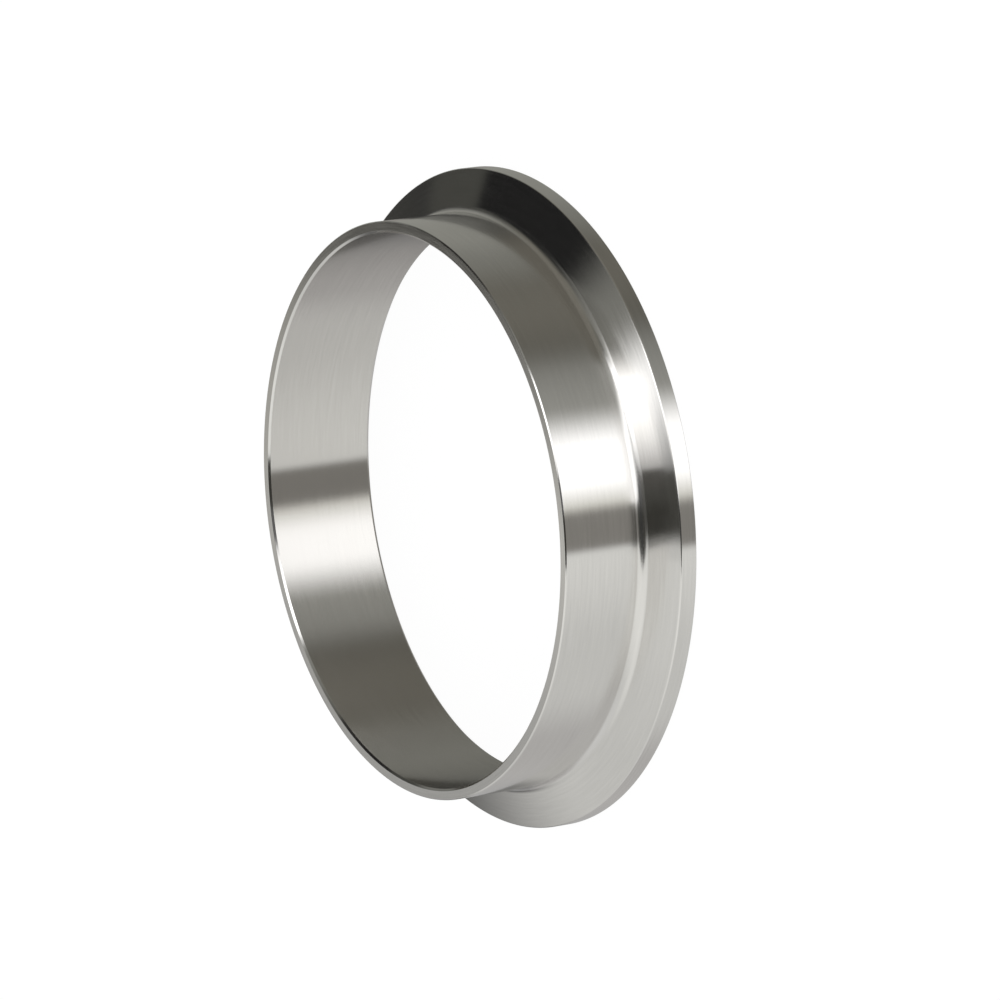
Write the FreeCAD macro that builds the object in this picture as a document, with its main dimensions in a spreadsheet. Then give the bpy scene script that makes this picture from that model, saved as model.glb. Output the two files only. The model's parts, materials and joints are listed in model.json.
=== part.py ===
import FreeCAD, Part
import math
import os

import Sketcher

# V-band weld flange for a 4 inch exhaust tube: one ring, turned from a single blank.
# Sizes are millimetres. The ring lies on its mating face. The origin is the centre of that face,
# and +Z runs along the bore, towards the end of the collar that is welded to the tube.

NODE = "v_band_flange"
SHEET = "Sizes"
SEARCH_TOLERANCE = 1e-4

# Driving sizes: name in the sheet, value, and what the size is on the real ring.
SIZES = [
    ("collar_diameter", 101.6, "outside of the collar, equal to the outside of a 4 inch tube"),
    ("collar_wall", 2.0, "wall of the collar, equal to the wall of the tube"),
    ("ring_height", 21.35, "from the mating face to the weld end"),
    ("rim_diameter", 116.7, "outside of the rim that the clamp goes round"),
    ("rim_land", 3.1, "straight band round the rim, up to the clamp face"),
    ("clamp_slope", 20.0, "slope of the clamp face from the mating face, in degrees"),
    ("root_radius", 1.7, "tool radius where the clamp face runs into the collar"),
    ("rim_edge_radius", 0.3, "rounded edge between the land and the clamp face"),
    ("rim_face_bevel", 0.1, "bevel between the land and the mating face"),
    ("bore_mouth_bevel", 0.75, "bevel of the bore at the mating face"),
    ("weld_outer_bevel", 0.2, "bevel round the outside of the weld end"),
    ("weld_inner_bevel", 0.35, "bevel of the bore at the weld end"),
]


def make_sheet(doc):
    """Writes the driving sizes into a sheet, one row for each, with the size's name on its value."""
    sheet = doc.addObject("Spreadsheet::Sheet", SHEET)
    for row, (name, value, meaning) in enumerate(SIZES, start=1):
        sheet.set(f"A{row}", meaning)
        sheet.set(f"B{row}", str(value))
        sheet.setAlias(f"B{row}", name)
    doc.recompute()
    return sheet


def origin_plane(body, role):
    """The body's own origin plane with that role."""
    return next(item for item in body.Origin.OriginFeatures if item.Role == role)


def section_corners(size):
    """Corners of the sharp half section, each a radius and a height, from the bore's mouth round the outside."""
    bore_radius = size["collar_diameter"] / 2 - size["collar_wall"]
    collar_radius = size["collar_diameter"] / 2
    rim_radius = size["rim_diameter"] / 2
    rise = (rim_radius - collar_radius) * math.tan(math.radians(size["clamp_slope"]))
    return {
        "bore_mouth": (bore_radius, 0.0),
        "rim_face": (rim_radius, 0.0),
        "rim_edge": (rim_radius, size["rim_land"]),
        "root": (collar_radius, size["rim_land"] + rise),
        "weld_outer": (collar_radius, size["ring_height"]),
        "weld_inner": (bore_radius, size["ring_height"]),
    }


def draw_section(body, corners):
    """The half section as a closed outline in the plane of the axis, fully constrained by the sheet."""
    sketch = body.newObject("Sketcher::SketchObject", "Section")
    sketch.AttachmentSupport = (origin_plane(body, "XZ_Plane"), [""])
    sketch.MapMode = "FlatFace"

    names = list(corners)
    points = [FreeCAD.Vector(radius, height, 0) for radius, height in corners.values()]
    line = {}
    for index, name in enumerate(names):
        segment = Part.LineSegment(points[index], points[(index + 1) % len(points)])
        line[name] = sketch.addGeometry(segment, False)

    start, end, origin_point, own_x, own_y = 1, 2, 1, -1, -2
    for name, following in zip(names, names[1:] + names[:1]):
        sketch.addConstraint(Sketcher.Constraint("Coincident", line[name], end, line[following], start))
    for name in ("bore_mouth", "weld_outer"):
        sketch.addConstraint(Sketcher.Constraint("Horizontal", line[name]))
    for name in ("rim_face", "root", "weld_inner"):
        sketch.addConstraint(Sketcher.Constraint("Vertical", line[name]))
    sketch.addConstraint(Sketcher.Constraint("PointOnObject", line["bore_mouth"], start, own_x))

    rim_radius = corners["rim_face"][0]
    collar_radius, ring_height = corners["weld_outer"]
    wall = collar_radius - corners["weld_inner"][0]
    slope = math.atan2(corners["root"][1] - corners["rim_edge"][1], rim_radius - collar_radius)
    dimensions = [
        ("rim_radius", ("DistanceX", own_y, origin_point, line["rim_face"], start), rim_radius,
         "rim_diameter / 2"),
        ("collar_radius", ("DistanceX", own_y, origin_point, line["weld_outer"], start), collar_radius,
         "collar_diameter / 2"),
        ("wall", ("DistanceX", line["weld_inner"], start, line["weld_outer"], start), wall,
         "collar_wall"),
        ("ring_height", ("DistanceY", own_x, origin_point, line["weld_outer"], start), ring_height,
         "ring_height"),
        ("rim_land", ("DistanceY", line["rim_face"], start, line["rim_face"], end),
         corners["rim_edge"][1], "rim_land"),
        ("clamp_slope", ("Angle", line["rim_edge"], start, line["bore_mouth"], end), slope,
         "clamp_slope"),
    ]
    for name, (kind, *places), value, cell in dimensions:
        index = sketch.addConstraint(Sketcher.Constraint(kind, *places, value))
        sketch.renameConstraint(index, name)
        sketch.setExpression(f"Constraints.{name}", f"{SHEET}.{cell}")
    return sketch


def circle_at(feature, corner):
    """Name of the feature's circular edge with that radius and height."""
    radius, height = corner
    for number, edge in enumerate(feature.Shape.Edges, start=1):
        if not isinstance(edge.Curve, Part.Circle):
            continue
        off_radius = abs(edge.Curve.Radius - radius)
        off_height = abs(edge.Curve.Center.z - height)
        if max(off_radius, off_height) < SEARCH_TOLERANCE:
            return f"Edge{number}"
    raise ValueError(f"{feature.Label} has no edge of radius {radius} at height {height}")


def finish_edge(body, base, kind, name, corner, cell):
    """Rounds or bevels one edge of the ring by the size in that cell, and returns the feature."""
    feature = body.newObject(f"PartDesign::{kind}", name)
    feature.Base = (base, [circle_at(base, corner)])
    size_property = "Radius" if kind == "Fillet" else "Size"
    feature.setExpression(size_property, f"{SHEET}.{cell}")
    body.Document.recompute()
    return feature


def make_ring(doc, size):
    """The ring: its section turned about the axis, then the tool radius at the root and every edge."""
    body = doc.addObject("PartDesign::Body", "Ring")
    body.Label = NODE
    corners = section_corners(size)
    sketch = draw_section(body, corners)
    doc.recompute()

    turned = body.newObject("PartDesign::Revolution", "Turned")
    turned.Profile = sketch
    turned.ReferenceAxis = (sketch, ["V_Axis"])
    turned.Angle = 360
    doc.recompute()

    edges = [
        ("Fillet", "RootRadius", "root", "root_radius"),
        ("Fillet", "RimEdge", "rim_edge", "rim_edge_radius"),
        ("Chamfer", "RimFaceBevel", "rim_face", "rim_face_bevel"),
        ("Chamfer", "BoreMouthBevel", "bore_mouth", "bore_mouth_bevel"),
        ("Chamfer", "WeldOuterBevel", "weld_outer", "weld_outer_bevel"),
        ("Chamfer", "WeldInnerBevel", "weld_inner", "weld_inner_bevel"),
    ]
    feature = turned
    for kind, name, corner, cell in edges:
        feature = finish_edge(body, feature, kind, name, corners[corner], cell)
    body.Tip = feature
    body.Placement = FreeCAD.Placement(FreeCAD.Vector(0, 0, 0), FreeCAD.Rotation())
    doc.recompute()
    return body


def check(doc, body):
    """Stops if an object of the document failed, or if the ring isn't one whole solid."""
    for item in doc.Objects:
        failed = {"Invalid", "Error"} & set(item.State)
        if failed:
            raise RuntimeError(f"{item.Label} failed: {sorted(failed)}")
    shape = body.Shape
    if shape.isNull() or not shape.isValid() or len(shape.Solids) != 1:
        raise RuntimeError(f"{body.Label} isn't one valid solid")


def main():
    """Builds the document and writes the ring to its file."""
    doc = FreeCAD.newDocument("VBandFlange")
    sheet = make_sheet(doc)
    size = {name: float(sheet.get(name)) for name, _, _ in SIZES}
    ring = make_ring(doc, size)
    check(doc, ring)
    os.makedirs("parts", exist_ok=True)
    ring.Shape.exportStep(f"parts/{ring.Label}.step")
    print(f"{ring.Label}: {ring.Shape.Volume:.1f} cubic mm, box {ring.Shape.BoundBox}")


main()
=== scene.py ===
import json
import logging
import math
from dataclasses import dataclass
from enum import Enum
from typing import Any

import bpy
import numpy as np
from mathutils import Matrix, Vector


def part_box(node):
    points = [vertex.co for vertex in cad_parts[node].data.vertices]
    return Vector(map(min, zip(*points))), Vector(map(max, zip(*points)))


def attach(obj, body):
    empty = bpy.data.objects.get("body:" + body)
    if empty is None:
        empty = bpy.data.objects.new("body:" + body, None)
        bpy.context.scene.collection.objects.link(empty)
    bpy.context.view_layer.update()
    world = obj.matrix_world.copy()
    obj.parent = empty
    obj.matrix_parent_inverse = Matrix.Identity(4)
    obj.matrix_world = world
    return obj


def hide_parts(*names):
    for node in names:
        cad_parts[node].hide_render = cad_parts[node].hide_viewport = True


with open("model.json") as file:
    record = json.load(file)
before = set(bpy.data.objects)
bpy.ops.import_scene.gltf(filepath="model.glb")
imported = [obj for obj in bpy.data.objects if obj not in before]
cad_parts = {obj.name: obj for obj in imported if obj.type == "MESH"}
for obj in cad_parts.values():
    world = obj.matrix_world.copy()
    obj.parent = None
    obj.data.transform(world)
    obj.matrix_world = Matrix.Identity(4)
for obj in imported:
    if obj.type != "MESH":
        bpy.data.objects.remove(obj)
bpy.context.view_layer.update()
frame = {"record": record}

NODE = "v_band_flange"
BODY = "root"
UV_NAME = "along_and_round"
MILLIMETRE = 0.001
SHADER_ASPECT = 0.9
LEAST_ARC_STEPS = 2

logging.basicConfig(level=logging.INFO, format="%(name)s: %(message)s")
log = logging.getLogger("flange")

Colour = tuple[float, float, float]


def rgba(colour: Colour) -> tuple[float, float, float, float]:
    """The colour with full opacity, as a socket takes it."""
    return (*colour, 1.0)


def grey(level: float) -> Colour:
    """The colour without a tint that has this level."""
    return (level, level, level)


class NodeSketch:
    """Adds shader nodes to one node tree, with the inputs given as values or as sockets."""

    def __init__(self, tree: bpy.types.NodeTree) -> None:
        """Keeps the tree and clears it."""
        self.tree = tree
        self.tree.nodes.clear()

    def add(self, kind: str, inputs: dict[Any, Any], **settings: Any) -> bpy.types.Node:
        """Adds one node.

        Args:
            kind: Blender's name of the node type.
            inputs: socket name or number to a value, or to the output socket that feeds it.
            settings: the node's own properties.

        Returns:
            The node.
        """
        node = self.tree.nodes.new(kind)
        for name, value in settings.items():
            setattr(node, name, value)
        for name, value in inputs.items():
            if isinstance(value, bpy.types.NodeSocket):
                self.tree.links.new(value, node.inputs[name])
            else:
                node.inputs[name].default_value = value
        return node

    def math(self, operation: str, *values: Any) -> bpy.types.NodeSocket:
        """The result of a Math node on one, two or three values or sockets."""
        return self.add("ShaderNodeMath", dict(enumerate(values)), operation=operation).outputs[0]

    def dot(self, vector: bpy.types.NodeSocket, direction: Vector) -> bpy.types.NodeSocket:
        """The share of a vector that lies along a fixed direction."""
        node = self.add("ShaderNodeVectorMath", {0: vector, 1: direction}, operation="DOT_PRODUCT")
        return node.outputs["Value"]

    def step(
        self, value: bpy.types.NodeSocket, middle: float, softness: float, before: Any, after: Any,
    ) -> bpy.types.NodeSocket:
        """A smooth step about a middle.

        Args:
            value: what is compared with the middle.
            middle: where the step is half way.
            softness: the whole width of the step.
            before: what the step starts from.
            after: what the step ends at.

        Returns:
            The step's height.
        """
        ends = {
            "Value": value, "From Min": middle - softness / 2, "From Max": middle + softness / 2,
            "To Min": before, "To Max": after,
        }
        return self.add("ShaderNodeMapRange", ends, interpolation_type="SMOOTHSTEP").outputs["Result"]

    def blend(self, share: Any, first: Any, second: Any) -> bpy.types.NodeSocket:
        """The colour that goes from the first to the second as share goes from 0 to 1.

        Args:
            share: how much of the second there is, as a value or a socket.
            first: a colour with its opacity, or a socket.
            second: a colour with its opacity, or a socket.

        Returns:
            The colour.
        """
        node = self.add("ShaderNodeMix", {"Factor": share}, data_type="RGBA")
        for name, value in (("A", first), ("B", second)):
            socket = next(s for s in node.inputs if s.name == name and s.type == "RGBA")
            if isinstance(value, bpy.types.NodeSocket):
                self.tree.links.new(value, socket)
            else:
                socket.default_value = value
        return next(s for s in node.outputs if s.type == "RGBA")


class Zone(Enum):
    """The stretches of the ring's section that are finished differently."""

    BORE = 0
    COLLAR = 1
    CLAMP_FACE = 2
    WELD_END = 3
    RADII = 4


@dataclass(frozen=True)
class TurnedFinish:
    """Stainless steel as a lathe tool leaves it: grooves that run round the axis.

    The grooves spread a reflection along the section, and leave it sharp round the axis. Both spreads
    are given as the shader's own alphas, the slopes of the fine roughness in the two directions. The
    edge factor darkens the reflection where the surface is seen edge on, and shade scales the whole
    colour; on the bore both are painted shade, standing in for the shade that falls inside the ring. The
    marks are a noise of the given width along the section, and marks_round is its size round the axis.
    """

    name: str
    spread_along: float
    spread_round: float
    # shade and the edge factor darken the steel; on the bore both are painted shade.
    shade: float = 1.0
    edge_painted_shade: float = 1.0
    colour: Colour = (0.68, 0.67, 0.655)
    tone_spread: float = 0.18
    roughness_spread: float = 0.12
    mark_width: float = 0.45 * MILLIMETRE
    mark_depth: float = 0.002 * MILLIMETRE
    marks_round: float = 5.0
    mark_detail: float = 4.0
    mark_breakup: float = 0.65

    def roughness(self) -> float:
        """Roughness whose square is the geometric mean of the two spreads."""
        return (self.spread_along * self.spread_round) ** 0.25

    def anisotropy(self) -> float:
        """Anisotropy that makes 1 less SHADER_ASPECT times it the ratio of the spreads."""
        return (1.0 - self.spread_round / self.spread_along) / SHADER_ASPECT

    def material(self, section_length: float) -> bpy.types.Material:
        """Makes the material.

        Args:
            section_length: length once round the ring's section, which the UV map's first axis spans.

        Returns:
            The material.
        """
        material = bpy.data.materials.new(self.name)
        material.use_nodes = True
        nodes = NodeSketch(material.node_tree)
        streaks = self._streaks(nodes, section_length)
        tone = nodes.blend(streaks, self._tone(-self.tone_spread / 2), self._tone(self.tone_spread / 2))
        low_roughness = self.roughness() - self.roughness_spread / 2
        rough = nodes.math("MULTIPLY_ADD", streaks, self.roughness_spread, low_roughness)
        bump = nodes.add("ShaderNodeBump", {"Height": streaks, "Distance": self.mark_depth})
        tangent = nodes.add("ShaderNodeTangent", {}, direction_type="UV_MAP", uv_map=UV_NAME)
        steel = nodes.add(
            "ShaderNodeBsdfPrincipled",
            {
                "Base Color": tone,
                "Metallic": 1.0,
                "Roughness": rough,
                "Anisotropic": self.anisotropy(),
                # Below 1, this darkens the steel seen edge on: painted shade on the bore.
                "Specular Tint": rgba(grey(self.edge_painted_shade)),
                "Normal": bump.outputs["Normal"],
                "Tangent": tangent.outputs["Tangent"],
            },
        )
        nodes.add("ShaderNodeOutputMaterial", {"Surface": steel.outputs["BSDF"]})
        return material

    def _tone(self, change: float) -> tuple[float, float, float, float]:
        """The colour times shade (painted shade on the bore), lighter by a share of itself or darker by a
        negative one.
        """
        return rgba(tuple(channel * self.shade * (1.0 + change) for channel in self.colour))

    def _streaks(self, nodes: NodeSketch, section_length: float) -> bpy.types.NodeSocket:
        """Noise drawn out round the axis, from 0 to 1.

        The noise is read at the point (x, y) / |(x, y)| times marks_round, with the way along the
        section over mark_width as its third axis, so that it closes on itself round the ring.

        Args:
            nodes: the material's nodes.
            section_length: length once round the section.

        Returns:
            The noise's value.
        """
        place = nodes.add("ShaderNodeTexCoord", {}).outputs["Object"]
        no_height = (1.0, 1.0, 0.0)
        flat = nodes.add("ShaderNodeVectorMath", {0: place, 1: no_height}, operation="MULTIPLY")
        outward = nodes.add("ShaderNodeVectorMath", {0: flat.outputs[0]}, operation="NORMALIZE")
        spread = {0: outward.outputs[0], "Scale": self.marks_round}
        round_axis = nodes.add("ShaderNodeVectorMath", spread, operation="SCALE")
        surface = nodes.add("ShaderNodeUVMap", {}, uv_map=UV_NAME)
        along = nodes.add("ShaderNodeSeparateXYZ", {0: surface.outputs["UV"]}).outputs["X"]
        marks = nodes.math("MULTIPLY", along, section_length / self.mark_width)
        lifted = nodes.add("ShaderNodeCombineXYZ", {"Z": marks})
        point = {0: round_axis.outputs[0], 1: lifted.outputs[0]}
        vector = nodes.add("ShaderNodeVectorMath", point, operation="ADD")
        noise = {
            "Vector": vector.outputs[0], "Scale": 1.0,
            "Detail": self.mark_detail, "Roughness": self.mark_breakup,
        }
        return nodes.add("ShaderNodeTexNoise", noise).outputs[0]


@dataclass(frozen=True)
class Corner:
    """A corner of the sharp section, with its rounding and the finish of the run that follows.

    The arc that rounds it has that finish too, unless arc_zone gives it its own.
    """

    radius: float
    height: float
    rounding: float
    zone: Zone
    arc_zone: Zone | None = None


@dataclass(frozen=True)
class RingSizes:
    """Sizes of the ring in metres, and its slope in radians."""

    bore_radius: float
    collar_radius: float
    rim_radius: float
    ring_height: float
    rim_land: float = 3.1 * MILLIMETRE
    clamp_slope: float = math.radians(20.0)
    root_radius: float = 1.7 * MILLIMETRE
    rim_edge_radius: float = 0.3 * MILLIMETRE
    rim_face_bevel: float = 0.1 * MILLIMETRE
    bore_mouth_bevel: float = 0.75 * MILLIMETRE
    weld_outer_bevel: float = 0.2 * MILLIMETRE
    weld_inner_bevel: float = 0.35 * MILLIMETRE
    bevel_rounding: float = 0.06 * MILLIMETRE

    @classmethod
    def from_frame(cls) -> "RingSizes":
        """Takes the radii from the record's round mounts, and the height from the CAD box.

        Returns:
            The sizes.
        """
        mounts = frame["record"]["mounts"]
        radius = {m["name"]: m["dims"]["r_mm"] * MILLIMETRE for m in mounts if "r_mm" in m["dims"]}
        low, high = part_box(NODE)
        return cls(radius["bore"], radius["collar"], radius["clamp_rim"], high.z - low.z)

    def corners(self) -> list[Corner]:
        """Corners of the section, up the bore, over the weld end, down the outside and back below.

        The clamp face rises from the land's upper edge to the collar by the tangent of its slope times
        the width between them.

        Returns:
            The corners, clockwise.
        """
        bore, collar, rim, top = self.bore_radius, self.collar_radius, self.rim_radius, self.ring_height
        root = self.rim_land + (rim - collar) * math.tan(self.clamp_slope)
        small = self.bevel_rounding
        inner, outer, mouth, face = (
            self.weld_inner_bevel, self.weld_outer_bevel, self.bore_mouth_bevel, self.rim_face_bevel,
        )
        return [
            Corner(bore, mouth, small, Zone.BORE),
            Corner(bore, top - inner, small, Zone.COLLAR),
            Corner(bore + inner, top, small, Zone.WELD_END),
            Corner(collar - outer, top, small, Zone.COLLAR),
            Corner(collar, top - outer, small, Zone.COLLAR),
            Corner(collar, root, self.root_radius, Zone.CLAMP_FACE, Zone.RADII),
            Corner(rim, self.rim_land, self.rim_edge_radius, Zone.COLLAR, Zone.RADII),
            Corner(rim, face, small, Zone.COLLAR),
            Corner(rim - face, 0.0, small, Zone.CLAMP_FACE),
            Corner(bore + mouth, 0.0, small, Zone.COLLAR),
        ]


@dataclass(frozen=True)
class Section:
    """The closed outline of the ring's half section, with its outward normals and finishes.

    points and normals are rows of radius and height, and zones has the number of the finish of the
    run from each point to the next.
    """

    points: np.ndarray
    normals: np.ndarray
    zones: np.ndarray

    @classmethod
    def rounded(cls, corners: list[Corner], turn_step: float) -> "Section":
        """Rounds each corner of a polygon with an arc that touches both of its sides.

        An arc of radius q at a corner that turns the path by the angle t starts q tan(t / 2) before the
        corner. Its centre lies q to the side that the path turns to. Its points are the centre plus q
        times the side normal, turned evenly from one side to the next.

        Args:
            corners: the polygon's corners, clockwise, with radius to the right and height upwards.
            turn_step: the largest turn between two points of an arc, in radians.

        Returns:
            The section.
        """
        place = np.array([(c.radius, c.height) for c in corners])
        after = np.roll(place, -1, axis=0) - place
        after /= np.linalg.norm(after, axis=1)[:, None]
        before = np.roll(after, 1, axis=0)
        turn = np.arctan2(before[:, 0] * after[:, 1] - before[:, 1] * after[:, 0], (before * after).sum(1))
        points, normals, zones = [], [], []
        for index, corner in enumerate(corners):
            steps = max(LEAST_ARC_STEPS, math.ceil(abs(turn[index]) / turn_step))
            angle = np.linspace(0.0, turn[index], steps + 1)
            left = np.array((-before[index, 1], before[index, 0]))
            across = np.stack((-left[1] * np.ones_like(angle), left[0] * np.ones_like(angle)), 1)
            normal = np.cos(angle)[:, None] * left + np.sin(angle)[:, None] * across
            side = math.copysign(1.0, turn[index])
            reach = corner.rounding * abs(math.tan(turn[index] / 2))
            centre = place[index] - reach * before[index] + side * corner.rounding * left
            points.append(centre - side * corner.rounding * normal)
            normals.append(normal)
            arc_zone = corner.arc_zone or corner.zone
            zones.append(np.array([arc_zone.value] * steps + [corner.zone.value]))
        return cls(np.concatenate(points), np.concatenate(normals), np.concatenate(zones))

    def way(self) -> np.ndarray:
        """Length along the outline to each point, and last the length once round."""
        steps = np.linalg.norm(np.roll(self.points, -1, axis=0) - self.points, axis=1)
        return np.concatenate(([0.0], np.cumsum(steps)))


@dataclass(frozen=True)
class TurnedRing:
    """The flange: one ring turned from a single blank."""

    sizes: RingSizes
    steps_round: int = 960
    turn_step: float = math.radians(9.0)
    finishes: tuple[tuple[Zone, TurnedFinish], ...] = (
        # Painted shade: the bore is darker by its shade, and darker still where it is seen edge on, for the
        # shade that falls inside the ring.
        (
            Zone.BORE,
            TurnedFinish(
                "turned_bore", spread_along=0.10, spread_round=0.010, shade=0.89, edge_painted_shade=0.55,
                colour=(0.685, 0.67, 0.648),
            ),
        ),
        (Zone.COLLAR, TurnedFinish("turned_collar", spread_along=0.03, spread_round=0.008)),
        (Zone.CLAMP_FACE, TurnedFinish("fine_turned_clamp_face", spread_along=0.025, spread_round=0.004)),
        (Zone.WELD_END, TurnedFinish("faced_weld_end", spread_along=0.012, spread_round=0.008, shade=0.67)),
        (Zone.RADII, TurnedFinish("tool_radii", spread_along=0.07, spread_round=0.015)),
    )

    def build(self) -> bpy.types.Object:
        """Makes the ring's mesh, its UV map and its finishes, and puts it in the CAD node's place.

        The surface is a function of the way s along the section and the angle a round the axis:
        (r(s) cos a, r(s) sin a, h(s)), with r and h the section's radius and height.

        Returns:
            The ring.
        """
        section = Section.rounded(self.sizes.corners(), self.turn_step)
        rows, columns = len(section.points), self.steps_round
        angle = np.linspace(0.0, 2 * math.pi, columns, endpoint=False)
        places = self._turned(section.points, angle)
        row, column = (grid.ravel() for grid in np.meshgrid(range(rows), range(columns), indexing="ij"))
        next_row, next_column = (row + 1) % rows, (column + 1) % columns
        faces = np.stack(
            (row * columns + column, next_row * columns + column,
             next_row * columns + next_column, row * columns + next_column), 1,
        )
        mesh = bpy.data.meshes.new(NODE)
        mesh.from_pydata(places, [], faces)
        mesh.polygons.foreach_set("material_index", section.zones[row].astype(np.int32))
        mesh.polygons.foreach_set("use_smooth", np.ones(len(faces), bool))
        self._add_uv(mesh, section, row, column)
        length = float(section.way()[-1])
        finish = dict(self.finishes)
        for zone in Zone:
            mesh.materials.append(finish[zone].material(length))
        mesh.update()
        mesh.normals_split_custom_set_from_vertices(self._turned(section.normals, angle))
        ring = bpy.data.objects.new(f"{NODE}_ring", mesh)
        bpy.context.scene.collection.objects.link(ring)
        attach(ring, BODY)
        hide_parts(NODE)
        log.info("%s has %d points and %d faces", ring.name, len(places), len(faces))
        return ring

    @staticmethod
    def _turned(rows: np.ndarray, angle: np.ndarray) -> np.ndarray:
        """Carries rows of radius and height round the axis.

        Args:
            rows: radius and height of each row.
            angle: the angles round the axis.

        Returns:
            Points in space, row by row: (radius cos angle, radius sin angle, height).
        """
        radius, height = rows[:, :1], rows[:, 1:]
        grid = (radius * np.cos(angle), radius * np.sin(angle), height * np.ones_like(angle))
        return np.stack(grid, -1).reshape(-1, 3)

    def _add_uv(self, mesh: bpy.types.Mesh, section: Section, row: np.ndarray, column: np.ndarray) -> None:
        """Gives each face corner its share of the way along the section and of the turn round the axis.

        Args:
            mesh: the ring's mesh, with four corners to a face.
            section: the ring's section.
            row: each face's row.
            column: each face's column.
        """
        way = section.way() / section.way()[-1]
        along = np.stack((way[row], way[row + 1], way[row + 1], way[row]), 1)
        turned = np.stack((column, column, column + 1, column + 1), 1) / self.steps_round
        layer = mesh.uv_layers.new(name=UV_NAME)
        layer.data.foreach_set("uv", np.stack((along, turned), -1).astype(np.float32).ravel())


@dataclass(frozen=True)
class Edge:
    """One edge of a panel: where it is and how wide its fade is, in degrees.

    A side is at an angle round the ring, which goes from the left, through the front at 0, to the
    right. A top or a bottom is at a height above the ring's level where it starts at the panel's left,
    and climbs evenly to the panel's right.
    """

    at: float
    fade: float
    climb: float = 0.0


@dataclass(frozen=True)
class Panel:
    """A patch of the studio as the ring sees it. It has no end on a side whose edge is left out."""

    name: str
    colour: Colour
    left: Edge | None = None
    right: Edge | None = None
    bottom: Edge | None = None
    top: Edge | None = None


BEHIND_TABLE = Edge(-15, 1)
GAP_FOOT = Edge(-20, 1)


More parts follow.
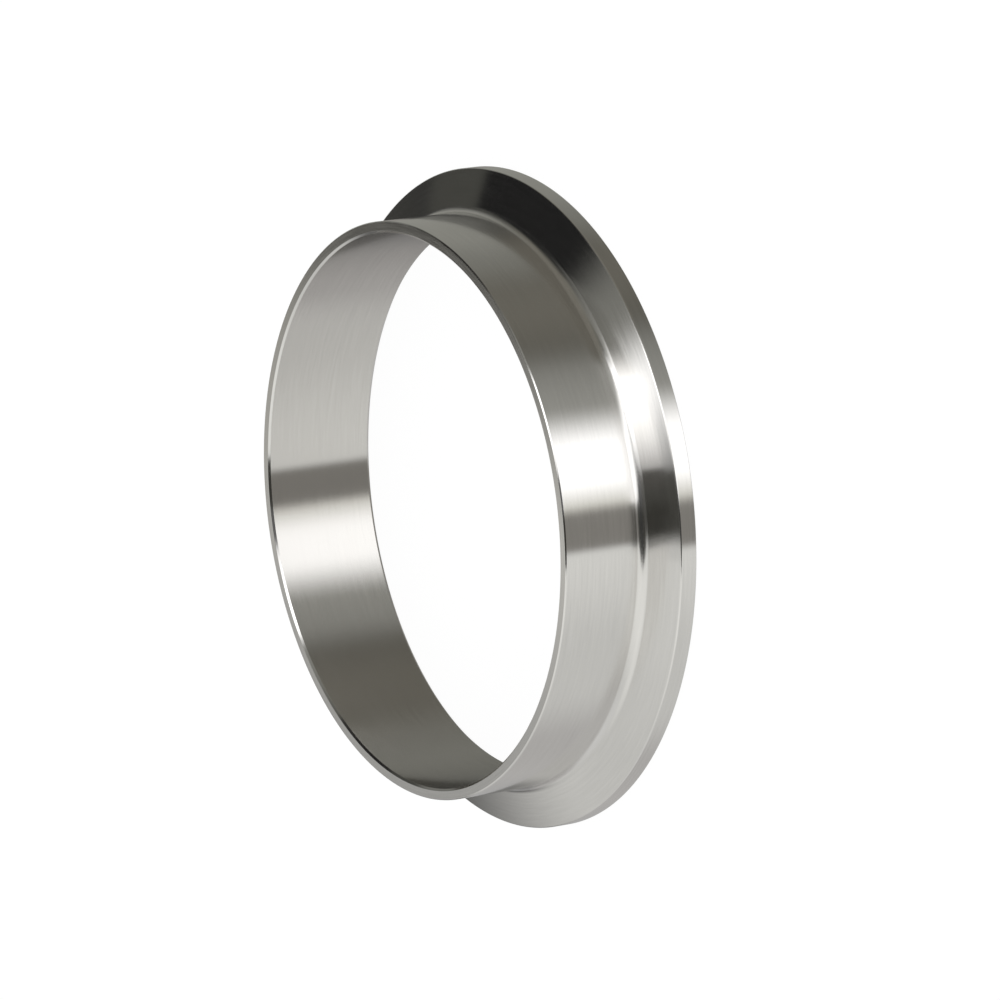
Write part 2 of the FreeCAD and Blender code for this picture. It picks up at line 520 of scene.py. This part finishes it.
@dataclass(frozen=True)
class Studio:
    """What the steel mirrors: a dim room with walls, lights, a table and the dark round the camera.

    The studio stands as the photo's does, round a ring whose axis is level, and lean turns it about
    that axis. Its panels are laid over each other in order. Everything but the steel sees plain white
    surroundings in its place.
    """

    lean: float = math.radians(12.5)
    surroundings: Colour = grey(1.0)
    room: Colour = (0.074, 0.074, 0.066)
    walls: tuple[Panel, ...] = (
        Panel("ceiling", (0.21, 0.20, 0.17), bottom=Edge(52, 29)),
        Panel(
            "far_right_wall", (0.31, 0.31, 0.28), left=Edge(115, 26),
            bottom=BEHIND_TABLE, top=Edge(52, 39),
        ),
        Panel(
            "far_back_wall", (0.33, 0.33, 0.30), left=Edge(151, 5),
            bottom=BEHIND_TABLE, top=Edge(34, 7),
        ),
        Panel(
            "far_left_wall", grey(0.035), right=Edge(-162.5, 1.5),
            bottom=BEHIND_TABLE, top=Edge(26.5, 4),
        ),
        Panel(
            "black_cloth", grey(0.015), left=Edge(-150.5, 2), right=Edge(-111, 4.5),
            bottom=BEHIND_TABLE, top=Edge(63, 45, climb=-4),
        ),
        Panel(
            "far_left_light", (0.21, 0.21, 0.195), right=Edge(-166, 4),
            bottom=Edge(14, 5), top=Edge(46, 26),
        ),
        Panel(
            "side_wall", (0.295, 0.295, 0.27), left=Edge(-123, 8), right=Edge(-73.5, 8),
            bottom=BEHIND_TABLE, top=Edge(21.5, 45, climb=43),
        ),
        Panel(
            "front_wall", (0.42, 0.42, 0.39), left=Edge(-41, 6), right=Edge(52.5, 39),
            bottom=Edge(0.5, 1), top=Edge(57, 12, climb=-4),
        ),
    )
    lights: tuple[Panel, ...] = (
        Panel(
            "upper_light", (0.525, 0.525, 0.50), left=Edge(-12.5, 12), right=Edge(13.5, 6),
            bottom=Edge(29.5, 3), top=Edge(57, 8),
        ),
        Panel(
            "left_light", grey(2.6), left=Edge(-113.5, 6), right=Edge(-50.5, 0.8),
            bottom=Edge(-5, 0.8, climb=16.5), top=Edge(10, 13, climb=39),
        ),
        Panel(
            "right_light", grey(1.72), left=Edge(-45, 1), right=Edge(60, 32),
            bottom=Edge(8, 6, climb=-10), top=Edge(45, 17, climb=-20),
        ),
        Panel(
            "left_light_foot", (0.19, 0.18, 0.17), left=Edge(-87.5, 7), right=Edge(-46.5, 4.5),
            bottom=Edge(-0.5, 1.5, climb=4), top=Edge(0.5, 45, climb=21),
        ),
        Panel(
            "right_light_foot", (0.82, 0.81, 0.74), left=Edge(17, 5), right=Edge(59.5, 6),
            bottom=Edge(1, 1.5), top=Edge(6.5, 11.5, climb=3.5),
        ),
    )
    gaps: tuple[Panel, ...] = (
        Panel("left_gap", (0.064, 0.063, 0.056), right=Edge(-7, 25), bottom=GAP_FOOT, top=Edge(4, 24)),
        Panel("right_gap", (0.28, 0.27, 0.25), left=Edge(3.5, 43), bottom=GAP_FOOT, top=Edge(3, 4.5)),
    )
    table: tuple[Panel, ...] = (
        Panel("table", (0.73, 0.73, 0.71), top=Edge(-10.3, 2.2)),
        Panel(
            "lit_table", (1.01, 1.01, 0.98), left=Edge(-102.5, 45), right=Edge(33.5, 17),
            bottom=Edge(-55.5, 45, climb=-2.5), top=Edge(-12.5, 0.5, climb=1),
        ),
        Panel("far_table", (0.55, 0.54, 0.53), left=Edge(85, 45), bottom=Edge(-72, 15), top=Edge(-11, 1)),
        Panel("back_table", grey(0.36), left=Edge(145.5, 26), bottom=Edge(-45.5, 7), top=Edge(-11, 1)),
        Panel("left_table", grey(0.074), right=Edge(-161, 44), bottom=Edge(-50, 15), top=Edge(-11.5, 1)),
        Panel(
            "lit_left_rim", (2.11, 2.07, 1.92), left=Edge(-157, 3.5), right=Edge(-144.5, 4.5),
            bottom=Edge(-6.5, 6.5, climb=-5), top=Edge(-5.5, 2.5, climb=-6.5),
        ),
        Panel("below", (0.80, 0.80, 0.79), top=Edge(-70.5, 33)),
    )
    round_camera: tuple[Panel, ...] = (
        Panel(
            "hump", grey(0.15), left=Edge(-64, 5), right=Edge(-29, 6),
            bottom=Edge(0, 1), top=Edge(11, 2, climb=-6.5),
        ),
        Panel(
            "left_dip", (0.042, 0.041, 0.035), left=Edge(-73.5, 5), right=Edge(-30.5, 0.6),
            bottom=Edge(-12, 2.5, climb=-8), top=Edge(-2.5, 2, climb=0.5),
        ),
        Panel(
            "right_dip", (0.041, 0.041, 0.036), left=Edge(-23.5, 0.5), right=Edge(7.5, 4.5),
            bottom=Edge(-19.5, 1, climb=8), top=Edge(4.5, 1, climb=-0.5),
        ),
        Panel(
            "camera", grey(0.036), left=Edge(-43, 2), right=Edge(-23.5, 2),
            bottom=Edge(-14, 2, climb=-2.5), top=Edge(21, 35, climb=-10.5),
        ),
    )

    def light(self) -> None:
        """Makes the world: the panels to the steel, and plain white to the camera and as light."""
        world = bpy.data.worlds.new("studio")
        world.use_nodes = True
        bpy.context.scene.world = world
        nodes = NodeSketch(world.node_tree)
        seen = self._panels_seen(nodes)
        path = nodes.add("ShaderNodeLightPath", {}).outputs
        mirrored = nodes.math("MAXIMUM", path["Is Glossy Ray"], path["Is Transmission Ray"])
        plain = nodes.add("ShaderNodeBackground", {"Color": rgba(self.surroundings), "Strength": 1.0})
        room = nodes.add("ShaderNodeBackground", {"Color": seen, "Strength": 1.0})
        sky = nodes.add("ShaderNodeMixShader", {0: mirrored, 1: plain.outputs[0], 2: room.outputs[0]})
        nodes.add("ShaderNodeOutputWorld", {"Surface": sky.outputs[0]})

    def _panels_seen(self, nodes: NodeSketch) -> bpy.types.NodeSocket:
        """The colour that a ray sees in its direction, with each panel laid over those before it.

        The height is the arcsine of the direction's share along the studio's upright. The turn is the
        angle whose tangent is its share to the right over its share to the front.

        Args:
            nodes: the world's nodes.

        Returns:
            The colour.
        """
        up = Vector((math.cos(self.lean), -math.sin(self.lean), 0.0))
        front = Vector((-math.sin(self.lean), -math.cos(self.lean), 0.0))
        right = Vector((0.0, 0.0, -1.0))
        ray = nodes.add("ShaderNodeTexCoord", {}).outputs["Generated"]
        height = nodes.math("DEGREES", nodes.math("ARCSINE", nodes.dot(ray, up)))
        to_right = nodes.math("ARCTAN2", nodes.dot(ray, right), nodes.dot(ray, front))
        turn = nodes.math("DEGREES", to_right)
        panels = self.walls + self.lights + self.gaps + self.table + self.round_camera
        seen: Any = rgba(self.room)
        for panel in panels:
            share = self._share(nodes, panel, turn, height)
            seen = nodes.blend(share, seen, rgba(panel.colour))
            seen.node.label = panel.name
        log.info("studio has %d panels", len(panels))
        return seen

    def _share(
        self, nodes: NodeSketch, panel: Panel, turn: bpy.types.NodeSocket, height: bpy.types.NodeSocket,
    ) -> bpy.types.NodeSocket:
        """How much of a direction a panel fills: the product of one smooth step for each of its edges.

        Each step goes from nothing to the product of the steps before it, or back to nothing.

        Args:
            nodes: the world's nodes.
            panel: the panel.
            turn: the direction's angle round the ring, in degrees.
            height: the direction's angle above the ring's level, in degrees.

        Returns:
            The share, from 0 to 1.
        """
        share: Any = 1.0
        if panel.left:
            share = nodes.step(turn, panel.left.at, panel.left.fade, 0.0, share)
        if panel.right:
            share = nodes.step(turn, panel.right.at, panel.right.fade, share, 0.0)
        if panel.bottom:
            above, middle = self._above(nodes, panel, panel.bottom, turn, height)
            share = nodes.step(above, middle, panel.bottom.fade, 0.0, share)
        if panel.top:
            above, middle = self._above(nodes, panel, panel.top, turn, height)
            share = nodes.step(above, middle, panel.top.fade, share, 0.0)
        return share

    @staticmethod
    def _above(
        nodes: NodeSketch, panel: Panel, edge: Edge, turn: bpy.types.NodeSocket,
        height: bpy.types.NodeSocket,
    ) -> tuple[bpy.types.NodeSocket, float]:
        """What to compare with what to tell if a direction is above a panel's bottom or top.

        Args:
            nodes: the world's nodes.
            panel: the panel.
            edge: its bottom or top.
            turn: the direction's angle round the ring, in degrees.
            height: the direction's angle above the ring's level, in degrees.

        Returns:
            The direction's height and the edge's if the edge is level. If it climbs, the height less
            the edge's height at that angle, and 0.
        """
        if edge.climb == 0.0:
            return height, edge.at
        run = {
            "Value": turn, "From Min": panel.left.at, "From Max": panel.right.at,
            "To Min": edge.at, "To Max": edge.at + edge.climb,
        }
        line = nodes.add("ShaderNodeMapRange", run).outputs["Result"]
        return nodes.math("SUBTRACT", height, line), 0.0


@dataclass(frozen=True)
class Floor:
    """A pale floor under the ring, which keeps its shadow."""

    half_width: float = 3.0
    drop: float = 0.02 * MILLIMETRE
    pale: Colour = grey(0.85)
    white: Colour = grey(1.0)
    glow: float = 1.03
    shadow_share: float = 0.08

    def build(self) -> bpy.types.Object:
        """Makes the floor, which the steel looks past because in the photo the ring stands free.

        Returns:
            The floor.
        """
        x, y = (side.ravel() * self.half_width for side in np.meshgrid((-1.0, 1.0), (-1.0, 1.0)))
        corners = np.stack((x, y, np.full(4, -self.drop)), 1)
        mesh = bpy.data.meshes.new("floor")
        mesh.from_pydata(corners, [], [(0, 1, 3, 2)])
        mesh.materials.append(self._material())
        floor = bpy.data.objects.new("floor", mesh)
        bpy.context.scene.collection.objects.link(floor)
        floor.visible_glossy = False
        log.info("%s is %.0f m wide", floor.name, 2 * self.half_width)
        return floor

    def _material(self) -> bpy.types.Material:
        """White where nothing shades it, to a ray that shows the background, and pale to other rays.

        Returns:
            The material.
        """
        material = bpy.data.materials.new("pale_floor")
        material.use_nodes = True
        nodes = NodeSketch(material.node_tree)
        matt = nodes.add("ShaderNodeBsdfDiffuse", {"Color": rgba(self.pale)})
        glow = nodes.add("ShaderNodeEmission", {"Color": rgba(self.white), "Strength": self.glow})
        shaded = nodes.add(
            "ShaderNodeMixShader", {0: self.shadow_share, 1: glow.outputs[0], 2: matt.outputs[0]},
        )
        path = nodes.add("ShaderNodeLightPath", {}).outputs
        mirrored = nodes.math("MAXIMUM", path["Is Glossy Ray"], path["Is Transmission Ray"])
        background = nodes.math("MAXIMUM", path["Is Camera Ray"], mirrored)
        surface = nodes.add(
            "ShaderNodeMixShader", {0: background, 1: matt.outputs[0], 2: shaded.outputs[0]},
        )
        nodes.add("ShaderNodeOutputMaterial", {"Surface": surface.outputs[0]})
        return material


@dataclass(frozen=True)
class PhotoCamera:
    """The camera, as far from the ring and turned to it as the photograph's was.

    The photograph shows the ring upright. The ring lies down here, so the camera lies on its side. It
    looks at the point aim, from the distance and the elevation given, and is rolled about its view.
    """

    aim: tuple[float, float, float] = (-0.23 * MILLIMETRE, -7.03 * MILLIMETRE, 6.93 * MILLIMETRE)
    distance: float = 1.14
    elevation: float = math.radians(31.04)
    roll: float = math.radians(-98.07)
    lens: float = 235.3
    sensor_width: float = 36.0

    def place(self) -> bpy.types.Object:
        """Makes the camera and sets it as the scene's.

        Returns:
            The camera.
        """
        ahead = Vector((0.0, math.cos(self.elevation), -math.sin(self.elevation)))
        level = Vector((1.0, 0.0, 0.0))
        upright = level.cross(ahead)
        right = math.cos(self.roll) * level + math.sin(self.roll) * upright
        up = right.cross(ahead)
        data = bpy.data.cameras.new("camera")
        data.lens = self.lens
        data.sensor_width = self.sensor_width
        camera = bpy.data.objects.new("camera", data)
        bpy.context.scene.collection.objects.link(camera)
        turned = Matrix((right, up, -ahead)).transposed()
        camera.matrix_world = Matrix.Translation(Vector(self.aim) - self.distance * ahead) @ turned.to_4x4()
        bpy.context.scene.camera = camera
        log.info("%s is %.2f m from the ring", camera.name, self.distance)
        return camera


def main() -> None:
    """Builds the ring, then the floor, the studio and the camera round it."""
    bpy.context.scene.view_settings.view_transform = "Standard"
    TurnedRing(RingSizes.from_frame()).build()
    Floor().build()
    Studio().light()
    PhotoCamera().place()


if __name__ == "__main__":
    main()
